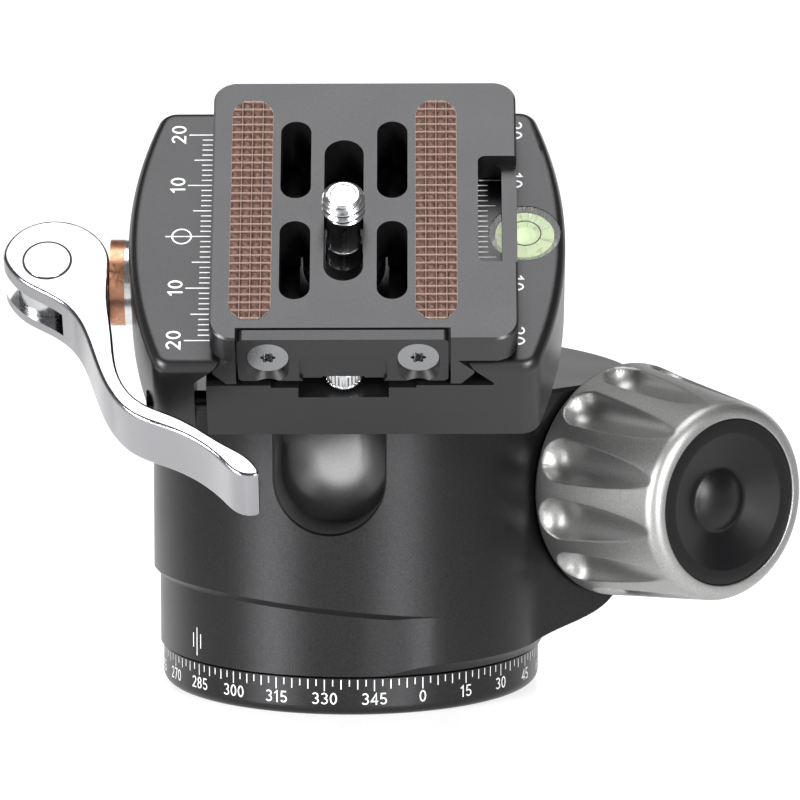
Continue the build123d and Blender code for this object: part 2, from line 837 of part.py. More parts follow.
def vial_fluid():
    body = disc(level_radius - level_wall, -level_height + 0.8, -0.9)
    bubble = Pos(0, 0, -0.9) * Sphere(bubble_radius)
    return clamp_frame * Pos(*level_place, 0) * (body - bubble)


# ---- quick-release plate ----
def bar_recess(gap=0.0):
    across = (-bar_half_width - gap, bar_half_width + gap)
    along = (-plate_half_length - 1, -plate_half_length + bar_thickness + gap)
    return block(across, along, (dovetail_bottom - 1, plate_top + 1))


def grip_bodies():
    ends = (-grip_half_length, grip_half_length)
    strip = slot_prism(grip_half_width, *ends, plate_top - grip_depth, plate_top + grip_proud)
    return [Pos(side * grip_place, 0, 0) * strip for side in (-1, 1)]


def window_cut(left, right, low):
    """The view down to the right jaw's scale, with round corners."""
    outline = RectangleRounded(right - left, 2 * window_reach, window_corner)
    return Pos((left + right) / 2, 0, low) * extrude(outline, 10 - low)


def plate():
    width = plate_right - plate_left
    outline = RectangleRounded(width, plate_length, plate_corner)
    slab = Pos((plate_left + plate_right) / 2, 0, plate_bottom) * extrude(outline, plate_top - plate_bottom)
    slab = chamfer(slab.edges().group_by(Axis.Z)[-1], 0.3)
    neck = dovetail_half_width - (plate_bottom + 1.1)
    dovetail = make_face(
        Polyline(
            (-neck, plate_bottom),
            (neck, plate_bottom),
            (dovetail_half_width, -1.1),
            (dovetail_half_width, -1.6),
            (dovetail_half_width - 1.9, dovetail_bottom),
            (-dovetail_half_width + 1.9, dovetail_bottom),
            (-dovetail_half_width, -1.6),
            (-dovetail_half_width, -1.1),
            close=True,
        )
    )
    body = slab + Pos(0, plate_half_length, 0) * Rot(90, 0, 0) * extrude(dovetail, plate_length)
    body -= slot_prism(centre_slot_half_width, *centre_slot, -10, 10)
    counterbore = (centre_slot[0] - 3.5, centre_slot[1] + 3.5)
    body -= slot_prism(camera_head_radius + 0.3, *counterbore, dovetail_bottom - 1, camera_washer_top)
    for low, high in side_slots:
        for side in (-1, 1):
            body -= Pos(side * side_slot_place, 0, 0) * slot_prism(side_slot_half_width, low, high, -10, 10)
    body -= window_cut(window_left, plate_right + 3, plate_top - window_step)
    body -= window_cut(window_left, window_right, -10)
    for grip in grip_bodies():
        body -= grip
    body -= bar_recess(bar_gap)
    for screw in bar_screw_bodies():
        body -= screw
    body -= Pos(0, stop_screw_place, 0) * disc(stop_head_radius + 0.2, dovetail_bottom - 1, stop_head_top)
    body -= Pos(0, stop_screw_place, 0) * disc(1.5, stop_head_top - 1, stop_head_top + 4)
    return clamp_frame * body


camera_washer_low = -2.4
camera_washer_top = camera_washer_low + camera_washer_height + 0.1


def grip_strips():
    return clamp_frame * Compound(grip_bodies())


def bar_screw_bodies(extra=0, drop=0):
    """Countersunk screws into the plate's front; drop lowers them, for the bar's slots."""
    head_height = bar_screw_head_radius - bar_screw_radius
    screw = disc(bar_screw_radius + extra, 0, 9)
    cone = Cone(bar_screw_head_radius + extra, bar_screw_radius + extra, head_height, align=from_low_face)
    screw += cone
    placed = Pos(0, -plate_half_length + 0.05, bar_screw_level - drop) * along_v * screw
    return [Pos(side * bar_screw_place, 0, 0) * placed for side in (-1, 1)]


def six_lobe_socket(radius, depth):
    """A six-lobed socket, open towards local -z."""
    lobe_radius = 0.27 * radius
    star = Circle(radius - lobe_radius)
    for lobe in around(6, Pos(radius - lobe_radius, 0) * Circle(lobe_radius)):
        star += lobe
    return Pos(0, 0, -1) * extrude(star, depth + 1)


def twist_stop_screws():
    socket = along_v * six_lobe_socket(bar_socket_radius, 1.1)
    screws = []
    for side, screw in zip((-1, 1), bar_screw_bodies()):
        middle = Pos(side * bar_screw_place, -plate_half_length + 0.05, bar_screw_level)
        screws.append(screw - middle * socket)
    return clamp_frame * Compound(screws)


def bar_slot():
    """The countersunk slot that lets the bar rise past its screw."""
    head_height = bar_screw_head_radius - bar_screw_radius
    wide = Rot(0, 0, 90) * SlotCenterToCenter(bar_travel, 2 * (bar_screw_head_radius + 0.1))
    narrow = Rot(0, 0, 90) * SlotCenterToCenter(bar_travel, 2 * (bar_screw_radius + 0.1))
    sink = loft([wide, Pos(0, 0, head_height) * narrow])
    through = Pos(0, 0, -1) * extrude(narrow, bar_thickness + 3)
    front = Pos(0, 0, -1) * extrude(wide, 1)
    middle = bar_screw_level - bar_travel / 2
    return Pos(0, -plate_half_length + 0.05, middle) * along_v * (sink + through + front)


def twist_stop():
    front, back = -plate_half_length, -plate_half_length + bar_thickness
    outline = RectangleRounded(2 * bar_half_width, bar_top - bar_bottom, 0.8)
    body = Pos(0, back, (bar_top + bar_bottom) / 2) * Rot(90, 0, 0) * extrude(outline, bar_thickness)
    window = RectangleRounded(bar_recess_width, 5.8, 1.4)
    body -= Pos(0, front + 0.6, -0.6) * Rot(90, 0, 0) * extrude(window, 2)
    arch = (-stop_arch_half_width, stop_arch_half_width)
    body -= block(arch, (front - 1, back + 1), (bar_bottom - 1, stop_arch_top))
    for side in (-1, 1):
        body -= Pos(side * bar_screw_place, 0, 0) * bar_slot()
    return clamp_frame * body


def stop_screw():
    head = disc(stop_head_radius, stop_head_bottom, stop_head_top)
    head = chamfer(head.edges().group_by(Axis.Z)[0], 0.3)
    return clamp_frame * Pos(0, stop_screw_place, 0) * (head + disc(1.5, stop_head_top, stop_head_top + 4))


def camera_screw():
    thread_low = camera_screw_top - camera_thread_length
    body = disc(camera_thread_radius, thread_low, camera_screw_top)
    body = chamfer(body.edges().group_by(Axis.Z)[-1], 0.5)
    body += disc(camera_neck_radius, camera_washer_low, thread_low)
    body += disc(camera_collar_radius, camera_washer_low, 1.65)
    head = disc(camera_head_radius, camera_washer_low - camera_head_height, camera_washer_low)
    body += chamfer(head.edges().group_by(Axis.Z)[0], 0.3)
    body -= block((-7, 7), (-0.7, 0.7), (-10, camera_washer_low - camera_head_height + 1.0))
    return clamp_frame * Pos(0, camera_screw_place, 0) * body


def screw_washer():
    low = camera_washer_low + 0.05
    body = tube(camera_head_radius - 0.3, camera_collar_radius + 0.1, low, low + camera_washer_height)
    return clamp_frame * Pos(0, camera_screw_place, 0) * body


nodes = {
    "panning_base": panning_base,
    "tripod_thread_insert": tripod_thread_insert,
    "spindle_screws": lambda: Compound(spindle_screw_bodies()),
    "spindle_plate": spindle_plate,
    "pan_washer": pan_washer,
    "bottom_ring": bottom_ring,
    "thrust_plate": thrust_plate,
    "housing": housing,
    "seat_ring": seat_ring,
    "shaft_bush": shaft_bush,
    "thrust_washer": thrust_washer,
    "pan_knob": pan_knob,
    "pan_screw": pan_screw,
    "pan_shoe": pan_shoe,
    "main_knob": main_knob,
    "knob_cap": knob_cap,
    "knob_shaft": knob_shaft,
    "drive_nut": drive_nut,
    "cam_ring": cam_ring,
    "cam_balls": cam_balls,
    "lift_ring": lift_ring,
    "ball_cup": ball_cup,
    "ball": ball,
    "stem_bolt": stem_bolt,
    "locating_pins": locating_pins,
    "clamp_base": clamp_base,
    "moving_jaw": moving_jaw,
    "guide_pins": guide_pins,
    "jaw_springs": jaw_springs,
    "clamp_rod": clamp_rod,
    "barrel_nut": barrel_nut,
    "cam_washer": cam_washer,
    "backing_washer": backing_washer,
    "lever": lever,
    "lever_pin": lever_pin,
    "bubble_vial": bubble_vial,
    "vial_fluid": vial_fluid,
    "plate": plate,
    "grip_strips": grip_strips,
    "twist_stop": twist_stop,
    "twist_stop_screws": twist_stop_screws,
    "stop_screw": stop_screw,
    "camera_screw": camera_screw,
    "screw_washer": screw_washer,
}

os.makedirs("parts", exist_ok=True)
for name, make in nodes.items():
    export_step(make(), f"parts/{name}.step")
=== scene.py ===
import math

import bmesh
import bpy
import numpy as np
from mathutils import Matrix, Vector


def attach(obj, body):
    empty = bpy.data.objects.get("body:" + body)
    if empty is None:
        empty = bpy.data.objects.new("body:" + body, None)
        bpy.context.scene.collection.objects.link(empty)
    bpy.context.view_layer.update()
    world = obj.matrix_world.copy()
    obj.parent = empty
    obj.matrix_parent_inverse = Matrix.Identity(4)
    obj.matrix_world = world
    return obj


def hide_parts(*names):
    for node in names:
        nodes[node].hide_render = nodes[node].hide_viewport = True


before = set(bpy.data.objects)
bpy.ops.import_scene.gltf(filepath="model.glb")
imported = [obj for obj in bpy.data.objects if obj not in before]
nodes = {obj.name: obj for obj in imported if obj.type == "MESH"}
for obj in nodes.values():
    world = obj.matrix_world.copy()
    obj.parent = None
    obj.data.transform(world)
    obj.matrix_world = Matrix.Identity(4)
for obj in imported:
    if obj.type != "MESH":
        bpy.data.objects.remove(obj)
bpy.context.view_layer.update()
mm = 0.001
print("frame loaded:", len(nodes), "pieces")

# the clamp's own axes, in millimetres: u across, v along the dovetail, n up from the jaw tops
clampPose = {"lean": 40.45, "heading": -0.88, "twist": 0.3, "ballHeight": 36.8, "top": 47.55, "offset": -0.45}


# a turn about one axis, as the usual matrix of cosines and sines
def turnAbout(axis, degrees):
    c, s = math.cos(math.radians(degrees)), math.sin(math.radians(degrees))
    if axis == "x":
        return np.array([[1, 0, 0], [0, c, -s], [0, s, c]])
    return np.array([[c, -s, 0], [s, c, 0], [0, 0, 1]])


clampTurn = turnAbout("z", clampPose["heading"]) @ turnAbout("x", clampPose["lean"])
clampTurn = clampTurn @ turnAbout("z", clampPose["twist"])
clampOrigin = clampTurn @ [clampPose["offset"], 0, clampPose["top"]] + [0, 0, clampPose["ballHeight"]]


# clamp millimetres to the part's metres: the turned point plus the clamp's origin
def onClamp(points):
    return (np.asarray(points, float) @ clampTurn.T + clampOrigin) * mm


# a flat drawing wrapped on a cylinder about Z: x is the angle in degrees, y the height and z the radius
def roundPanAxis(points):
    p = np.asarray(points, float)
    a = np.radians(p[:, 0])
    return np.stack([p[:, 2] * np.cos(a), p[:, 2] * np.sin(a), p[:, 1]], axis=1) * mm


# points and faces made an object with one material, riding on a body of the part
def meshPiece(name, points, faces, material, body, smooth=True):
    mesh = bpy.data.meshes.new(name)
    mesh.from_pydata(np.asarray(points).tolist(), [], [list(f) for f in faces])
    mesh.polygons.foreach_set("use_smooth", [smooth] * len(mesh.polygons))
    mesh.update()
    piece = bpy.data.objects.new(name, mesh)
    bpy.context.scene.collection.objects.link(piece)
    mesh.materials.append(material)
    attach(piece, body)
    return piece


# quads of a rows by cols grid, joined round its columns if it closes
def gridFaces(rows, cols, closeCols=False, offset=0):
    i, j = np.meshgrid(np.arange(rows - 1), np.arange(cols if closeCols else cols - 1), indexing="ij")
    k = (j + 1) % cols
    quads = np.stack([i * cols + j, i * cols + k, (i + 1) * cols + k, (i + 1) * cols + j], axis=-1)
    return (quads.reshape(-1, 4) + offset).tolist()


# profile rows (r, z), going up the outside, turned about z: x = r cos a, y = r sin a.
# radiusAt(r, z, a) may shape r on the way, and each end is closed to a point on the axis.
def lathe(profile, count, radiusAt=None):
    p = np.asarray(profile, float)
    a = np.linspace(0, 2 * np.pi, count, endpoint=False)
    r, z = np.repeat(p[:, :1], count, 1), np.repeat(p[:, 1:], count, 1)
    angle = np.repeat(a[None], len(p), 0)
    if radiusAt is not None:
        r = radiusAt(r, z, angle)
    ring = np.stack([r * np.cos(angle), r * np.sin(angle), z], axis=-1).reshape(-1, 3)
    points = np.concatenate([ring, [[0, 0, p[0, 1]], [0, 0, p[-1, 1]]]])
    first, last, top = len(ring), len(ring) + 1, (len(p) - 1) * count
    j = np.arange(count)
    k = (j + 1) % count
    low = np.stack([np.full(count, first), k, j], 1).tolist()
    high = np.stack([np.full(count, last), top + j, top + k], 1).tolist()
    return points, gridFaces(len(p), count, True) + low + high


# several (points, faces) as one: each part's faces are counted on from the points before it
def joinParts(parts):
    points, faces, start = [], [], 0
    for p, f in parts:
        points.append(np.asarray(p, float))
        faces += [[k + start for k in face] for face in f]
        start += len(p)
    return np.concatenate(points), faces


# sRGB hex to the linear values that Blender's shaders use
def hexLinear(code):
    s = np.array([int(code[i : i + 2], 16) for i in (1, 3, 5)]) / 255
    linear = np.where(s <= 0.04045, s / 12.92, ((s + 0.055) / 1.055) ** 2.4)
    return (*linear.tolist(), 1.0)


# one shader node: attributes and socket values from settings, and input sockets wired from links
def addNode(tree, kind, settings=None, links=None):
    node = tree.nodes.new(kind)
    for key, value in (settings or {}).items():
        if isinstance(key, int) or key in node.inputs:
            node.inputs[key].default_value = value
        else:
            setattr(node, key, value)
    for key, source in (links or {}).items():
        tree.links.new(source, node.inputs[key])
    return node


# a new material, its node tree and its shader, with the shader's own sockets set
def principled(name, settings):
    material = bpy.data.materials.new(name)
    material.use_nodes = True
    shader = material.node_tree.nodes["Principled BSDF"]
    for key, value in settings.items():
        shader.inputs[key].default_value = value
    return material, material.node_tree, shader


# noise on the piece's own coordinates, whose features are about size millimetres across
def surfaceNoise(tree, size, detail=2.0):
    place = addNode(tree, "ShaderNodeTexCoord").outputs["Object"]
    settings = {"Scale": 1 / (size * mm), "Detail": detail}
    return addNode(tree, "ShaderNodeTexNoise", settings, {"Vector": place}).outputs["Fac"]


# a colour that goes from dark to light as the noise goes through the span
def mottled(tree, noise, dark, light, span):
    share = addNode(tree, "ShaderNodeMapRange", {"From Min": span[0], "From Max": span[1]}, {"Value": noise})
    ends = {"data_type": "RGBA", 6: hexLinear(dark), 7: hexLinear(light)}
    return addNode(tree, "ShaderNodeMix", ends, {0: share.outputs["Result"]}).outputs[2]


# roughness that wanders between low and high as the noise goes through the span
def wanderingGloss(tree, shader, noise, low, high, span):
    ends = {"From Min": span[0], "From Max": span[1], "To Min": low, "To Max": high}
    gloss = addNode(tree, "ShaderNodeMapRange", ends, {"Value": noise})
    tree.links.new(gloss.outputs["Result"], shader.inputs["Roughness"])


# the noise as a relief, at most depth millimetres high
def relief(tree, shader, noise, strength, depth):
    bump = addNode(tree, "ShaderNodeBump", {"Strength": strength, "Distance": depth * mm}, {"Height": noise})
    tree.links.new(bump.outputs["Normal"], shader.inputs["Normal"])


# Bead-blasted and anodised aluminium. Glass beads leave shallow pits about 0.2 mm apart, so highlights
# spread into soft bands with a fine sparkle, and the dye leaves the metal's own shine under the colour.
def blastedAnodised(name, look):
    material, tree, shader = principled(name, {"Metallic": look["metallic"]})
    pits = surfaceNoise(tree, look["grain"], 3.0)
    cloud = surfaceNoise(tree, 9.0)
    tint = mottled(tree, pits, look["dark"], look["light"], (0.3, 0.7))
    tree.links.new(tint, shader.inputs["Base Color"])
    wanderingGloss(tree, shader, cloud, look["roughness"] - 0.03, look["roughness"] + 0.03, (0, 1))
    relief(tree, shader, pits, look["bump"], 0.02)
    return material


# Turned or milled metal. The cutter leaves faint streaks, so its shine is sharp but a little uneven.
def machinedMetal(name, look):
    material, tree, shader = principled(name, {"Metallic": 1.0, "Base Color": hexLinear(look["colour"])})
    streaks = surfaceNoise(tree, look["grain"])
    wanderingGloss(tree, shader, streaks, look["roughness"] * 0.8, look["roughness"] * 1.25, (0.35, 0.65))
    relief(tree, shader, streaks, look["bump"], 0.01)
    return material


# Moulded plastic or rubber. The mould's texture breaks the shine up, and the colour runs right through.
def mouldedPolymer(name, look):
    settings = {"Roughness": look["roughness"], "Specular IOR Level": look.get("shine", 0.5)}
    material, tree, shader = principled(name, settings)
    skin = surfaceNoise(tree, look["grain"])
    tint = mottled(tree, skin, look["dark"], look["light"], (0.35, 0.65))
    tree.links.new(tint, shader.inputs["Base Color"])
    relief(tree, shader, skin, look["bump"], 0.02)
    return material


# Black dye, heavily blasted: the body of the head
bodyAnodised = blastedAnodised(
    "blackBlastedAluminium",
    {"dark": "#2b2b2c", "light": "#363637", "metallic": 0.9, "roughness": 0.36, "grain": 0.22, "bump": 0.35},
)
# Black dye, finely blasted: the clamp's jaws and the anti-twist bar
clampAnodised = blastedAnodised(
    "blackSatinAluminium",
    {"dark": "#3a3a3b", "light": "#414142", "metallic": 0.9, "roughness": 0.34, "grain": 0.2, "bump": 0.2},
)
# Dark grey dye, finely blasted: the quick-release plate
plateAnodised = blastedAnodised(
    "greySatinAluminium",
    {"dark": "#404041", "light": "#474748", "metallic": 0.9, "roughness": 0.34, "grain": 0.2, "bump": 0.2},
)
# Hard anodised grey, turned true and then finely blasted: the ball
ballAnodised = blastedAnodised(
    "hardAnodisedBall",
    {"dark": "#b4b4b4", "light": "#c0c0c0", "metallic": 0.95, "roughness": 0.34, "grain": 0.25, "bump": 0.12},
)
# Titanium grey dye over coarse blasting: both knobs
knobAnodised = blastedAnodised(
    "titaniumGreyAluminium",
    {"dark": "#9c9c9b", "light": "#b2b2b1", "metallic": 1.0, "roughness": 0.44, "grain": 0.25, "bump": 0.35},
)
# Thin black anodising, left as machined: the retaining ring in the underside
innerAnodised = blastedAnodised(
    "blackMachinedAluminium",
    {"dark": "#1e1e20", "light": "#262628", "metallic": 0.4, "roughness": 0.5, "grain": 0.3, "bump": 0.2},
)
# Stainless steel, polished nearly to a mirror: the lever, which shows the studio's boxes and the dark
# between them
polishedSteel = machinedMetal(
    "polishedStainless", {"colour": "#a0a0a3", "roughness": 0.13, "grain": 2.0, "bump": 0.03}
)
# Steel as it left the lathe: sharp but uneven glints
machinedSteel = machinedMetal(
    "machinedSteel", {"colour": "#c4c5c7", "roughness": 0.24, "grain": 0.5, "bump": 0.15}
)
# Nickel-plated steel, bright and cool, and a darker grey steel on the countersunk screws
brightSteel = machinedMetal(
    "brightPlatedSteel", {"colour": "#d4d5d7", "roughness": 0.2, "grain": 0.4, "bump": 0.08}
)
darkSteel = machinedMetal(
    "darkPlatedSteel", {"colour": "#8e8f91", "roughness": 0.2, "grain": 0.3, "bump": 0.2}
)
# Steel blackened in hot salts: a thin dark skin with an oily sheen
blackOxide = machinedMetal(
    "blackOxideSteel", {"colour": "#2c2c2e", "roughness": 0.32, "grain": 0.4, "bump": 0.1}
)
# Brass rubbed by the lever's cam: warm, with a broken shine
burnishedBrass = machinedMetal(
    "burnishedBrass", {"colour": "#c08c70", "roughness": 0.34, "grain": 0.6, "bump": 0.12}
)
# Dense black rubber with a satin mould: the knob's cap
capRubber = mouldedPolymer(
    "blackMouldedRubber",
    {"dark": "#0c0c0e", "light": "#121214", "roughness": 0.32, "grain": 0.3, "bump": 0.12, "shine": 0.3},
)
# Acetal, which slides dry: waxy, with a soft wide highlight
slidingPlastic = mouldedPolymer(
    "whiteAcetal", {"dark": "#dedcd3", "light": "#e9e7e0", "roughness": 0.45, "grain": 0.6, "bump": 0.1}
)
blackAcetal = mouldedPolymer(
    "blackAcetal", {"dark": "#131314", "light": "#1a1a1b", "roughness": 0.45, "grain": 0.6, "bump": 0.1}
)
# Paint wiped into engraved lines: chalky and even, with a faint random mottle
markPaint = mouldedPolymer(
    "whiteEngravingPaint",
    {"dark": "#f0f0f0", "light": "#fbfbfb", "roughness": 0.6, "grain": 0.4, "bump": 0.05},
)
darkPaint = mouldedPolymer(
    "darkVialPaint", {"dark": "#3a3c20", "light": "#45482a", "roughness": 0.5, "grain": 0.4, "bump": 0.05}
)


# Cast acrylic, polished clear: no colour of its own, with a thin bright skin where it catches a lamp
def clearAcrylic():
    settings = {"Roughness": 0.03, "Transmission Weight": 1.0, "IOR": 1.49}
    settings["Base Color"] = hexLinear("#e6ede4")
    material, tree, shader = principled("clearCastAcrylic", settings)
    relief(tree, shader, surfaceNoise(tree, 3.0), 0.02, 0.01)
    return material


# Spirit dyed yellow-green, with a painted glow: it gives off light evenly whether lit or not, standing in for
# the light that would reach it through the vial's clear wall
def dyedSpirit():
    # the emission strength is the painted glow, the same everywhere on the spirit
    settings = {"Roughness": 0.15, "Emission Strength": 0.21, "IOR": 1.36}
    material, tree, shader = principled("dyedSpirit", settings)
    tint = mottled(tree, surfaceNoise(tree, 6.0), "#dfeeb6", "#e8f3c8", (0, 1))
    tree.links.new(tint, shader.inputs["Base Color"])
    tree.links.new(tint, shader.inputs["Emission Color"])
    return material


finishes = {
    bodyAnodised: ["panning_base", "housing"],
    clampAnodised: ["clamp_base", "moving_jaw", "twist_stop"],
    plateAnodised: ["plate"],
    ballAnodised: ["ball"],
    knobAnodised: ["main_knob", "pan_knob"],
    innerAnodised: ["bottom_ring"],
    polishedSteel: ["lever", "lever_pin"],
    machinedSteel: [
        "tripod_thread_insert", "spindle_screws", "spindle_plate", "thrust_plate", "pan_screw", "knob_shaft",
        "drive_nut", "cam_ring", "cam_balls", "lift_ring", "stem_bolt", "locating_pins", "clamp_rod",
        "barrel_nut",
    ],
    blackOxide: ["guide_pins", "jaw_springs"],
    darkSteel: ["twist_stop_screws"],
    brightSteel: ["stop_screw", "camera_screw", "backing_washer"],
    burnishedBrass: ["cam_washer", "pan_shoe", "shaft_bush"],
    capRubber: ["knob_cap", "grip_strips"],
    slidingPlastic: ["pan_washer", "thrust_washer"],
    blackAcetal: ["screw_washer", "seat_ring", "ball_cup"],
    clearAcrylic(): ["bubble_vial"],
    dyedSpirit(): ["vial_fluid"],
}
for material, names in finishes.items():
    for name in names:
        nodes[name].data.materials.clear()
        nodes[name].data.materials.append(material)
print("finishes set on", sum(len(n) for n in finishes.values()), "pieces")


# a straight line mark, as one quad
def barMark(x0, x1, y0, y1):
    return np.array([(x0, y0, 0), (x1, y0, 0), (x0, y1, 0), (x1, y1, 0)], float), [(0, 1, 3, 2)]


# a thin ring: two circles joined by quads
def ringMark(cx, cy, radius, width, count=48):
    a = np.linspace(0, 2 * np.pi, count, endpoint=False)
    circle = np.stack([np.cos(a), np.sin(a), np.zeros(count)], 1)
    points = np.concatenate([circle * (radius + width / 2), circle * (radius - width / 2)]) + [cx, cy, 0]
    return points, gridFaces(2, count, True)


# a line of even width along a path: each point moved half the width to each side, and at a corner
# further, by one over the cosine of half the turn
def stroke(path, width, closed=False):
    p = np.asarray(path, float)
    ahead = np.roll(p, -1, 0) - p
    if not closed:
        ahead[-1] = ahead[-2]
    ahead /= np.linalg.norm(ahead, axis=1, keepdims=True)
    behind = np.roll(ahead, 1, 0)
    if not closed:
        behind[0] = ahead[0]
    along = ahead + behind
    along /= np.maximum(np.linalg.norm(along, axis=1, keepdims=True), 1e-6)
    reach = width / 2 / np.clip((along * ahead).sum(1, keepdims=True), 0.45, 1)
    side = np.stack([-along[:, 1], along[:, 0]], 1) * reach
    rows = np.concatenate([p - side, p + side])
    return np.column_stack([rows, np.zeros(len(rows))]), gridFaces(2, len(p), closed)


# points round part of an ellipse: centre plus (rx cos a, ry sin a)
def arc(cx, cy, rx, ry, start, end, count=14):
    a = np.radians(np.linspace(start, end, count))
    return np.stack([cx + rx * np.cos(a), cy + ry * np.sin(a)], 1)


# plain numerals drawn with one pen, each 0.56 wide and 1 high, and how far the next one stands from it
pen = 0.118
digitStep, narrowStep = 0.68, 0.52
fiveFlag = [(0.48, 0.93), (0.13, 0.93), (0.10, 0.52)]
digitStrokes = {
    "0": [(arc(0.28, 0.5, 0.21, 0.43, 0, 360, 30)[:-1], True)],
    "1": [([(0.06, 0.74), (0.27, 0.93), (0.27, 0.0)], False)],
    "2": [(np.concatenate([arc(0.28, 0.70, 0.20, 0.23, 165, -38), [(0.07, 0.07), (0.53, 0.07)]]), False)],
    "3": [
        (arc(0.26, 0.72, 0.20, 0.21, 150, -90), False),
        (arc(0.26, 0.29, 0.23, 0.22, 90, -150), False),
    ],
    "4": [([(0.42, 0.0), (0.42, 0.93), (0.05, 0.28), (0.56, 0.28)], False)],
    "5": [(np.concatenate([fiveFlag, arc(0.27, 0.31, 0.22, 0.24, 120, -150)]), False)],
    "6": [
        (arc(0.28, 0.31, 0.21, 0.24, 0, 360, 26)[:-1], True),
        (arc(0.50, 0.31, 0.43, 0.63, 180, 105), False),
    ],
    "7": [([(0.04, 0.93), (0.50, 0.93), (0.20, 0.0)], False)],
    "8": [
        (arc(0.28, 0.72, 0.18, 0.21, 0, 360, 26)[:-1], True),
        (arc(0.28, 0.29, 0.21, 0.22, 0, 360, 26)[:-1], True),
    ],
    "9": [
        (arc(0.28, 0.69, 0.21, 0.24, 0, 360, 26)[:-1], True),
        (arc(0.06, 0.69, 0.43, 0.63, 0, -75), False),
    ],
}


# a number, centred, height high and stretch times as wide, turned by degrees and moved to at
def numberMark(number, height, stretch=1.0, turn=0.0, at=(0.0, 0.0)):
    parts, reach = [], 0.0
    for digit in str(number):
        for path, closed in digitStrokes[digit]:
            points, faces = stroke(path, pen, closed)
            parts.append((points + [reach, 0, 0], faces))
        reach += narrowStep if digit == "1" else digitStep
    points, faces = joinParts(parts)
    middle = (points.min(0) + points.max(0)) / 2
    points = (points - middle) * [height * stretch, height, 0] @ turnAbout("z", turn).T
    return points + [*at, 0], faces


panScale = {
    "radius": 28.7, "lift": 0.015, "top": 5.6, "zeroAt": -68.0, "lineWidth": 0.17,
    "fifteens": 1.75, "fives": 1.45, "halves": 1.0, "numeralAt": 2.72, "numeralHeight": 1.82, "stretch": 1.1,
}


# degree marks wrapped round the panning base: one each 2.5 degrees, longer at each five and fifteen
def panScaleMarks():
    s, parts = panScale, []
    perMm = math.degrees(1 / s["radius"])
    half = s["lineWidth"] / 2 * perMm
    for value in np.arange(0, 360, 2.5):
        length = s["fifteens"] if value % 15 == 0 else s["fives"] if value % 5 == 0 else s["halves"]
        middle = s["zeroAt"] + value
        parts.append(barMark(middle - half, middle + half, s["top"] - length, s["top"]))
        if value % 15 == 0:
            at = (middle, s["numeralAt"])
            parts.append(numberMark(int(value), s["numeralHeight"], perMm * s["stretch"], 0, at))
    points, faces = joinParts(parts)
    points[:, 2] = s["radius"] + s["lift"]
    return meshPiece("panScale", roundPanAxis(points), faces, markPaint, "base", smooth=False)


indexMark = {
    "heading": -142.8, "radius": 29.15, "lift": 0.015, "middle": (7.0, 11.3), "sides": (8.2, 10.4),
    "gap": 0.9, "lineWidth": 0.2,
}


# three upright lines on the skirt, the middle one longer, to read the pan scale against
def housingIndex():
    s, parts = indexMark, []
    perMm = math.degrees(1 / s["radius"])
    half = s["lineWidth"] / 2 * perMm
    for shift in (-1, 0, 1):
        low, high = s["sides"] if shift else s["middle"]
        middle = s["heading"] + shift * s["gap"] * perMm
        parts.append(barMark(middle - half, middle + half, low, high))
    points, faces = joinParts(parts)
    points[:, 2] = s["radius"] + s["lift"]
    return meshPiece("housingIndex", roundPanAxis(points), faces, markPaint, "body", smooth=False)


jawScale = {
    "inner": 19.45, "short": 21.2, "fives": 22.35, "tens": 23.2, "zero": 26.35, "rightZero": 21.3,
    "circleAt": 23.95, "circle": 1.4, "circleWidth": 0.24, "lineWidth": 0.2, "lift": 0.015,
    "numeralAt": 24.75, "rightNumeralAt": 25.35, "numeralHeight": 2.2, "stretch": 1.3,
}


# millimetre marks each way from a jaw's middle, drawn for the left jaw and turned half round for the right,
# where the vial leaves room for short marks only
def jawScaleMarks(name, body, rightJaw=False, shift=0.0):
    s, parts = jawScale, []
    half = s["lineWidth"] / 2
    for v in range(-20, 21):
        reach = s["tens"] if v % 10 == 0 else s["fives"] if v % 5 == 0 else s["short"]
        if v == 0:
            reach = s["rightZero"] if rightJaw else s["zero"]
        if rightJaw and abs(v) < 5:
            reach = min(reach, s["short"])
        parts.append(barMark(-reach, -s["inner"], v - half, v + half))
        if v % 10 == 0 and v:
            at = s["rightNumeralAt"] if rightJaw else s["numeralAt"]
            parts.append(numberMark(abs(v), s["numeralHeight"], s["stretch"], 90, (-at, v)))
    if not rightJaw:
        parts.append(ringMark(-s["circleAt"], 0, s["circle"], s["circleWidth"]))
    points, faces = joinParts(parts)
    points[:, 2] = s["lift"]
    if rightJaw:
        points[:, :2] *= -1
        points[:, 1] += shift
    return meshPiece(name, onClamp(points), faces, markPaint, body, smooth=False)


panScaleMarks()
housingIndex()
jawScaleMarks("leftJawScale", "jaw")
jawScaleMarks("rightJawScale", "clamp", rightJaw=True, shift=0.84)
print("scales drawn")


# a flat ring in the clamp's own plane, at height n
def clampRing(name, ring, material, body):
    points, faces = ringMark(ring["u"], ring["v"], ring["radius"], ring["width"])
    points[:, 2] = ring["n"]
    return meshPiece(name, onClamp(points), faces, material, body, smooth=False)


# the painted ring that the bubble is read against, a little below the jaw's top
clampRing("vialRing", {"u": 26.6, "v": 0.55, "n": -0.085, "radius": 2.37, "width": 0.2}, darkPaint, "clamp")
# a dark ring round the lever's pin, flush with the lever's top: painted shade of the gap between the pin and
# the lever
clampRing("leverPinShadeRing", {"u": -44.0, "v": 0.0, "n": -5.25, "radius": 3.56, "width": 0.3}, blackOxide, "lever")

gripPad = {
    "middle": 13.55, "halfWidth": 3.05, "halfLength": 21.35, "bottom": 5.27, "edge": 6.2, "top": 6.42,
    "cells": 4, "cell": 1.5, "steps": 12, "depth": 0.5, "ribDrop": 0.03, "ribShare": 1.5,
    "sideRim": 0.02, "endRim": 0.05, "weld": 0.004, "sliver": 0.001,
}


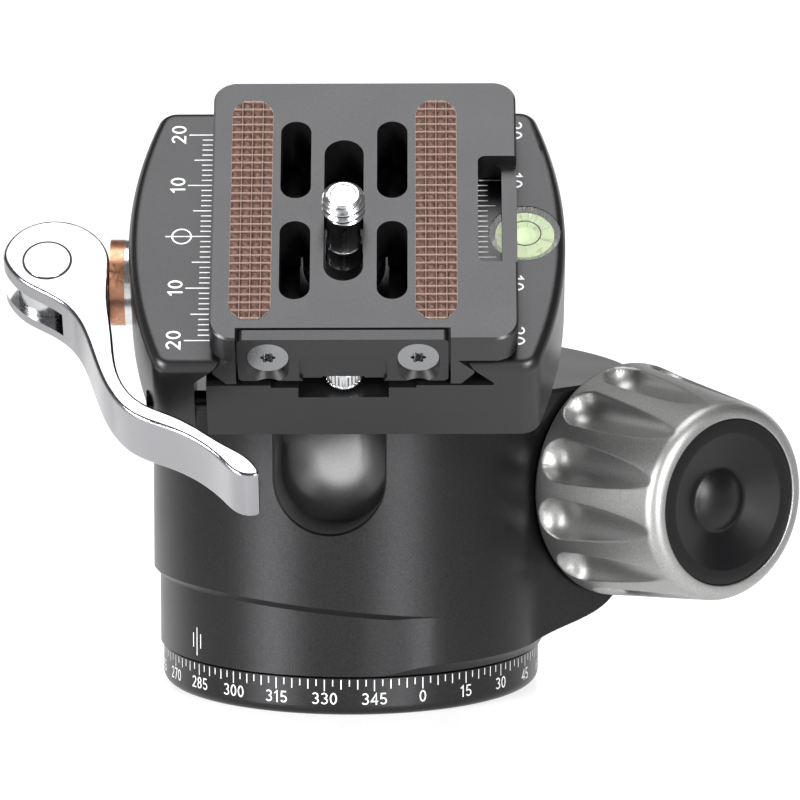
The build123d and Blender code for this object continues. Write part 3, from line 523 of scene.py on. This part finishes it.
# A stadium-shaped pad with a grid of shallow pyramids between flat ribs, on a square grid that is pushed in
# to the stadium's outline. The height falls from each cell's centre with the greater of the two distances
# from it, and is level again over the last step, which is half a rib.
def gripHeights(side):
    g = gripPad
    step = g["cell"] / g["steps"]
    rows = int(round(2 * g["halfLength"] / step)) | 1
    cols = g["cells"] * g["steps"] + 1
    wide = g["halfWidth"] / (cols // 2)
    along, across = (np.arange(rows) - rows // 2) * step, (np.arange(cols) - cols // 2) * wide
    y, x = np.meshgrid(along, across, indexing="ij")
    fx, fy = [np.abs((np.arange(n) - n // 2) % g["steps"] / g["steps"] - 0.5) * 2 for n in (cols, rows)]
    away = np.maximum(*np.meshgrid(fx, fy))
    y = np.clip(y, -g["halfLength"], g["halfLength"])
    over = np.clip(np.abs(y) - (g["halfLength"] - g["halfWidth"]), 0, g["halfWidth"])
    half = np.sqrt(g["halfWidth"] ** 2 - over**2)
    rim = (np.abs(x) > half - g["sideRim"]) | (np.abs(y) > g["halfLength"] - g["endRim"])
    x = np.clip(x, -half, half)
    onRib = away > 1 - g["ribShare"] / g["steps"]
    z = np.where(onRib, g["top"] - g["ribDrop"], g["top"] - g["depth"] * away)
    z = np.where(rim, g["edge"], z)
    points = np.stack([x + side * g["middle"], y, z], -1).reshape(-1, 3)
    index = np.arange(rows * cols).reshape(rows, cols)
    loop = np.concatenate([index[0, :-1], index[:-1, -1], index[-1, :0:-1], index[:0:-1, 0]])
    below = points[loop] * [1, 1, 0] + [0, 0, g["bottom"]]
    under = rows * cols + np.arange(len(loop))
    walls = np.stack([loop, under, np.roll(under, -1), np.roll(loop, -1)], 1).tolist()
    faces = gridFaces(rows, cols) + walls + [under[::-1].tolist()]
    share = np.concatenate([onRib.ravel() | rim.ravel(), np.ones(len(loop), bool)])
    return np.concatenate([points, below]), faces, share


# Moulded rubber, brown: each pyramid's slopes catch the light unevenly, and its ribs and the pad's rim are
# coloured pale
def gripRubber():
    material, tree, shader = principled("brownMouldedRubber", {"Roughness": 0.5})
    rib = addNode(tree, "ShaderNodeAttribute", {"attribute_name": "rib"}).outputs["Fac"]
    brown = mottled(tree, surfaceNoise(tree, 0.5, 3.0), "#3f2a23", "#6b4c40", (0.35, 0.65))
    paleRibTone = {"data_type": "RGBA", 7: hexLinear("#a8948c")}
    tint = addNode(tree, "ShaderNodeMix", paleRibTone, {0: rib, 6: brown}).outputs[2]
    tree.links.new(tint, shader.inputs["Base Color"])
    return material


gripSides = [gripHeights(side) for side in (-1, 1)]
gripPoints, gripMesh = joinParts([(p, f) for p, f, share in gripSides])
grips = meshPiece(
    "gripPads", onClamp(gripPoints), gripMesh, gripRubber(), "plate", smooth=False
)
ribShare = np.concatenate([share for p, f, share in gripSides]).astype(np.float32)
grips.data.attributes.new("rib", "FLOAT", "POINT").data.foreach_set("value", ribShare)
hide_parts("grip_strips")
# the clamped rows beyond the stadium's ends fall on one another: they are welded, and what has no area goes
cleaner = bmesh.new()
cleaner.from_mesh(grips.data)
bmesh.ops.remove_doubles(cleaner, verts=cleaner.verts[:], dist=gripPad["weld"] * mm)
bmesh.ops.dissolve_degenerate(cleaner, edges=cleaner.edges[:], dist=gripPad["sliver"] * mm)
cleaner.to_mesh(grips.data)
cleaner.free()
print("grip pads made")

cameraScrew = {
    "v": -2.3, "major": 3.175, "minor": 2.62, "pitch": 1.27, "top": 12.0, "threadLow": 8.3,
    "threadShort": 0.45, "flank": 1.35, "fadeShort": 0.3, "fade": 0.5, "head": 6.1, "headLow": -4.6,
    "headHigh": -2.4, "shank": 2.7, "neck": 2.45, "blank": 3.0, "pole": 0.4,
}


# the thread: radius = minor + (major - minor) * triangle wave of (height / pitch - angle / turn), where
# flank cuts the wave's top flat, and it fades at the screw's end
def threadRadius(r, z, a):
    c = cameraScrew
    inThread = (z > c["threadLow"] - 0.01) & (z < c["top"] - c["threadShort"]) & (r > c["blank"] - 0.1)
    wave = 1 - np.abs(((z / c["pitch"] - a / (2 * np.pi)) % 1) * 2 - 1)
    crest = np.clip(wave * c["flank"], 0, 1) * np.clip((c["top"] - c["fadeShort"] - z) / c["fade"], 0, 1)
    return np.where(inThread, c["minor"] + (c["major"] - c["minor"]) * crest, r)


# a turned profile from the head up to the tip: each row is a radius and a height, and the blank is what the
# thread is cut from
def cameraScrewPiece():
    c = cameraScrew
    big, low, high, shank, neck = c["head"], c["headLow"], c["headHigh"], c["shank"], c["neck"]
    head = [(c["pole"], low), (big - 0.3, low), (big, low + 0.3), (big, high), (shank, high)]
    waist = [(shank, 1.5), (shank - 0.1, 1.65), (neck, 1.7), (neck, 7.9), (neck + 0.15, 8.25)]
    thread = [(c["blank"], z) for z in np.linspace(c["threadLow"], c["top"] - c["threadShort"] - 0.01, 64)]
    tip = [(2.62, -0.42), (2.42, -0.1), (2.36, -0.03), (2.28, 0.0), (2.2, 0.0), (1.98, 0.0), (1.92, 0.0)]
    tip += [(1.86, -0.04), (1.8, -0.09), (1.74, -0.09), (1.68, -0.09), (c["pole"], -0.09)]
    tip = [(r, c["top"] + z) for r, z in tip]  # a rounded end with a shallow dish in it
    points, faces = lathe(head + waist + thread + tip, 72, threadRadius)
    points[:, 1] += c["v"]
    screw = meshPiece("cameraScrewThreaded", onClamp(points), faces, brightSteel, "camera_screw")
    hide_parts("camera_screw")


stopScrew = {
    "v": -21.5, "radius": 2.8, "low": -6.3, "high": -3.1, "shank": 1.5, "shankLength": 4.0, "pole": 0.4,
    "ribs": 30, "ribDepth": 0.16,
}


# knurling: the head's radius drops by the rib depth times a triangle wave of the angle
def knurledRadius(r, z, a):
    s = stopScrew
    onRim = (r > s["radius"] - 0.1) & (z > s["low"] + 0.5) & (z < s["high"] - 0.3)
    wave = np.abs((a / (2 * np.pi) * s["ribs"]) % 1 * 2 - 1)
    return np.where(onRim, r - s["ribDepth"] * wave, r)


# a turned profile: a head with chamfered edges and a plain shank above it
def stopScrewPiece():
    s = stopScrew
    low, high, big, end = s["low"], s["high"], s["radius"], s["high"] + s["shankLength"]
    profile = [(s["pole"], low), (big - 0.3, low), (big, low + 0.3), (big, low + 0.45)]
    profile += [(big, low + 0.55), (big, high - 0.35), (big, high - 0.25), (big - 0.15, high)]
    profile += [(s["shank"], high), (s["shank"], end), (s["pole"], end)]
    points, faces = lathe(profile, s["ribs"] * 6, knurledRadius)
    points[:, 1] += s["v"]
    screw = meshPiece("stopScrewKnurled", onClamp(points), faces, brightSteel, "plate", smooth=False)
    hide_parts("stop_screw")


cameraScrewPiece()
stopScrewPiece()
print("screws made")


# the main knob's axis: its heading, how far it passes beside the pan axis, and its height
knobPlace = {"heading": -52.0, "offset": 32.0, "height": 31.0}
mainKnob = {
    "start": 27.0, "end": 51.3, "wide": 17.95, "rim": 14.95, "rimRound": 2.2, "bore": 12.69,
    "boreDepth": 6.0, "hole": 4.1, "flutes": 12, "firstFlute": 12.0, "fluteRadius": 3.4,
    "fluteCircle": 18.05, "fluteStart": 31.25, "fluteRise": 0.025, "edge": 0.14,
}
knobCap = {
    "radius": 12.62, "back": 45.4, "face": 51.05, "dish": 10.4, "dishDepth": 2.3, "dome": 4.9,
    "domeRadius": 8.2, "pole": 0.3,
}


# knob millimetres to the part's metres: x runs across, y up and z out along the shaft
def onKnob(points):
    c, s = math.cos(math.radians(knobPlace["heading"])), math.sin(math.radians(knobPlace["heading"]))
    place = np.array([-s, c, 0]) * knobPlace["offset"] + [0, 0, knobPlace["height"]]
    return (np.asarray(points, float) @ [[-s, c, 0], [0, 0, 1], [c, s, 0]] + place) * mm


# Ball-ended flutes. At angle d from a flute's middle the cut is at C cos d - sqrt(q^2 - C^2 sin^2 d), where
# C is the flutes' circle, which widens slowly, and q the cutter's radius, which shrinks round the near end.
# The lower of the cut and the knob's own surface is taken, with a small round where they cross.
def flutedRadius(r, z, a):
    k = mainKnob
    step = 2 * np.pi / k["flutes"]
    d = (a - math.radians(k["firstFlute"]) + step / 2) % step - step / 2
    circle = k["fluteCircle"] + k["fluteRise"] * np.clip(z - k["fluteStart"], 0, None)
    inside = k["fluteRadius"] ** 2 - np.clip(k["fluteStart"] - z, 0, None) ** 2 - (circle * np.sin(d)) ** 2
    cut = np.where(inside > 0, circle * np.cos(d) - np.sqrt(np.clip(inside, 0, None)), 99)
    share = np.clip(0.5 + 0.5 * (cut - r) / k["edge"], 0, 1)
    return cut * (1 - share) + r * share - k["edge"] * share * (1 - share)


# A turned profile: the rounded back edge, a cone, the rim's arc, which touches the cone and the face, and
# then the cap's bore. The rows stand closer together round the flutes' near ends.
def mainKnobPiece():
    k = mainKnob
    start, end, wide, bore = k["start"], k["end"], k["wide"], k["bore"]
    slope = (wide - k["rim"]) / (end - start)
    tilt = math.atan(slope)
    reach = k["rim"] * math.cos(tilt) + end * math.sin(tilt) - k["rimRound"]
    zc = end - k["rimRound"]
    rc = (reach - zc * math.sin(tilt)) / math.cos(tilt)
    a = np.linspace(tilt, math.pi / 2, 14)
    rim = np.stack([rc + k["rimRound"] * np.cos(a), zc + k["rimRound"] * np.sin(a)], 1)
    nearRows = np.arange(start + 0.6, start + 9, 0.25)
    farRows = np.linspace(start + 9.2, rim[0, 1] - 0.2, 34)
    z = np.concatenate([nearRows, farRows])
    cone = np.stack([wide - (z - start) * slope, z], 1)
    back = [(k["hole"], start), (wide - 1.05, start), (wide - 0.45, start + 0.02)]
    back += [(wide - 0.15, start + 0.12), (wide - 0.03, start + 0.32)]
    low = end - k["boreDepth"]
    inner = [(bore + 0.1, end), (bore + 0.02, end - 0.06), (bore, end - 0.2), (bore, low), (k["hole"], low)]
    points, faces = lathe(np.concatenate([back, cone, rim, inner]), 720, flutedRadius)
    knob = meshPiece("mainKnobFluted", onKnob(points), faces, knobAnodised, "knob")
    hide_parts("main_knob")


# a flat ring, a conical dish and a low dome: the dome's height is its sphere's rise over the dome's edge
def knobCapPiece():
    k = knobCap
    big, back, face, dish, dome = k["radius"], k["back"], k["face"], k["dish"], k["dome"]
    low = face - k["dishDepth"]
    edge = [(k["pole"], back), (big - 0.12, back), (big, back + 0.1), (big, face - 0.12)]
    edge += [(big - 0.04, face - 0.04), (big - 0.14, face)]
    ring = [(dish + 0.12, face), (dish, face - 0.03), (dish - 0.15, face - 0.08)]
    foot = [(dome + 0.5, low + 0.21), (dome + 0.2, low + 0.1), (dome, low + 0.06), (dome - 0.2, low + 0.14)]
    r = np.linspace(dome - 0.5, k["pole"], 16)
    rise = np.sqrt(k["domeRadius"] ** 2 - r**2) - math.sqrt(k["domeRadius"] ** 2 - dome**2)
    profile = np.concatenate([edge, ring, foot, np.stack([r, low + rise], 1)])
    points, faces = lathe(profile, 160)
    cap = meshPiece("knobCapDomed", onKnob(points), faces, capRubber, "knob")
    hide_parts("knob_cap")


mainKnobPiece()
knobCapPiece()
print("main knob turned")


# a soft box by its bearing from the camera's side, its rise, distance, size and brightness;
# its power is brightness times pi times its area
def softBox(name, look):
    bearing, rise = math.radians(look["bearing"]), math.radians(look["rise"])
    aim = Vector((0, 0, 0.05))  # the part's middle
    way = Vector((math.sin(bearing) * math.cos(rise), -math.cos(bearing) * math.cos(rise), math.sin(rise)))
    light = bpy.data.lights.new(name, "AREA")
    light.shape = "RECTANGLE"
    light.size, light.size_y = look["size"]
    light.energy = look["brightness"] * math.pi * look["size"][0] * look["size"][1]
    lamp = bpy.data.objects.new(name, light)
    bpy.context.scene.collection.objects.link(lamp)
    lamp.location = aim + way * look["distance"]
    lamp.rotation_mode = "QUATERNION"
    lamp.rotation_quaternion = (-way).to_track_quat("-Z", "Y")


studio = {
    "overhead": {"bearing": 0, "rise": 89, "distance": 0.8, "size": (0.52, 0.52), "brightness": 4.4},
    "leftFront": {"bearing": -47, "rise": 15, "distance": 0.9, "size": (0.34, 0.44), "brightness": 20.0},
    "rightFront": {"bearing": 28, "rise": 15, "distance": 0.9, "size": (0.30, 0.44), "brightness": 17.5},
    "leftBack": {"bearing": -128, "rise": 20, "distance": 0.9, "size": (0.34, 0.36), "brightness": 2.2},
    "rightBack": {"bearing": 145, "rise": 20, "distance": 0.9, "size": (0.34, 0.36), "brightness": 1.6},
}
for name, look in studio.items():
    softBox(name, look)


# a dim studio that is white up to just above the horizon, and higher where the backdrop stands behind
def studioWorld(look):
    world = bpy.data.worlds.new("dimStudio")
    bpy.context.scene.world = world
    world.use_nodes = True
    tree = world.node_tree
    way = addNode(tree, "ShaderNodeTexCoord").outputs["Generated"]
    part = addNode(tree, "ShaderNodeSeparateXYZ", {}, {0: way}).outputs
    backdrop = addNode(tree, "ShaderNodeMapRange", {"To Max": look["backdrop"]}, {"Value": part["Y"]})
    links = {0: part["Z"], 1: backdrop.outputs["Result"]}
    height = addNode(tree, "ShaderNodeMath", {"operation": "SUBTRACT"}, links).outputs[0]
    fade = {"From Min": look["fadeFrom"], "From Max": look["fadeTo"]}
    fade.update({"To Min": look["horizon"], "To Max": look["above"]})
    strength = addNode(tree, "ShaderNodeMapRange", fade, {"Value": height}).outputs["Result"]
    tree.nodes["Background"].inputs["Color"].default_value = (1, 1, 1, 1)
    tree.links.new(strength, tree.nodes["Background"].inputs["Strength"])


studioWorld({"horizon": 1.0, "above": 0.15, "fadeFrom": 0.06, "fadeTo": 0.12, "backdrop": 0.3})


# Satin painted board, lit from within to white wherever it is seen or mirrored, so that only soft shadows
# show on it. The glow fades out in front of the object and beyond a strip that widens towards the back, where
# only a mirrored view would find it.
def paleBoard(look):
    settings = {"Base Color": hexLinear(look["colour"]), "Roughness": look["roughness"]}
    material, tree, shader = principled("paleSatinBoard", settings)
    path = addNode(tree, "ShaderNodeLightPath").outputs
    seen = path["Is Camera Ray"]
    for ray in ("Is Glossy Ray", "Is Transmission Ray"):
        seen = addNode(tree, "ShaderNodeMath", {"operation": "MAXIMUM"}, {0: seen, 1: path[ray]}).outputs[0]
    place = addNode(tree, "ShaderNodeTexCoord").outputs["Object"]
    place = addNode(tree, "ShaderNodeSeparateXYZ", {}, {0: place}).outputs
    fade = {"From Min": look["fade"][0], "From Max": look["fade"][1]}
    fade.update({"To Min": look["front"], "To Max": look["glow"]})
    glow = addNode(tree, "ShaderNodeMapRange", fade, {"Value": place["Y"]}).outputs["Result"]
    aside = addNode(tree, "ShaderNodeMath", {"operation": "ABSOLUTE"}, {0: place["X"]}).outputs[0]
    spread = {"operation": "MULTIPLY", 1: look["spread"]}
    wider = addNode(tree, "ShaderNodeMath", spread, {0: place["Y"]}).outputs[0]
    aside = addNode(tree, "ShaderNodeMath", {"operation": "SUBTRACT"}, {0: aside, 1: wider}).outputs[0]
    fade = {"From Min": look["sides"][0], "From Max": look["sides"][1]}
    fade.update({"To Min": 1.0, "To Max": look["outside"]})
    within = addNode(tree, "ShaderNodeMapRange", fade, {"Value": aside}).outputs["Result"]
    for share in (within, seen):
        glow = addNode(tree, "ShaderNodeMath", {"operation": "MULTIPLY"}, {0: glow, 1: share}).outputs[0]
    shader.inputs["Emission Color"].default_value = (1, 1, 1, 1)
    tree.links.new(glow, shader.inputs["Emission Strength"])
    return material


floorMesh = bpy.data.meshes.new("floor")
floorMesh.from_pydata([(-6, -6, 0), (6, -6, 0), (6, 6, 0), (-6, 6, 0)], [], [(0, 1, 2, 3)])
floorMesh.materials.append(paleBoard({
    "colour": "#bebebe", "roughness": 0.22, "glow": 0.68, "front": 0.25, "fade": (-0.2, -0.095),
    "spread": 0.062, "sides": (0.07, 0.14), "outside": 0.3,
}))
floor = bpy.data.objects.new("floor", floorMesh)
bpy.context.scene.collection.objects.link(floor)

# a long lens from a little above
cameraSet = {"place": (0.0, -1.0027, 0.2214), "yaw": 0.43, "pitch": -10.09, "lens": 300.3}
cameraData = bpy.data.cameras.new("camera")
cameraData.lens = cameraSet["lens"]
cameraData.sensor_width = 36
cameraData.clip_start, cameraData.clip_end = 0.05, 50
camera = bpy.data.objects.new("camera", cameraData)
bpy.context.scene.collection.objects.link(camera)
camera.location = cameraSet["place"]
camera.rotation_euler = (math.radians(90 + cameraSet["pitch"]), 0, math.radians(-cameraSet["yaw"]))
bpy.context.scene.camera = camera
bpy.context.scene.view_settings.view_transform = "Standard"
print("studio and camera set")
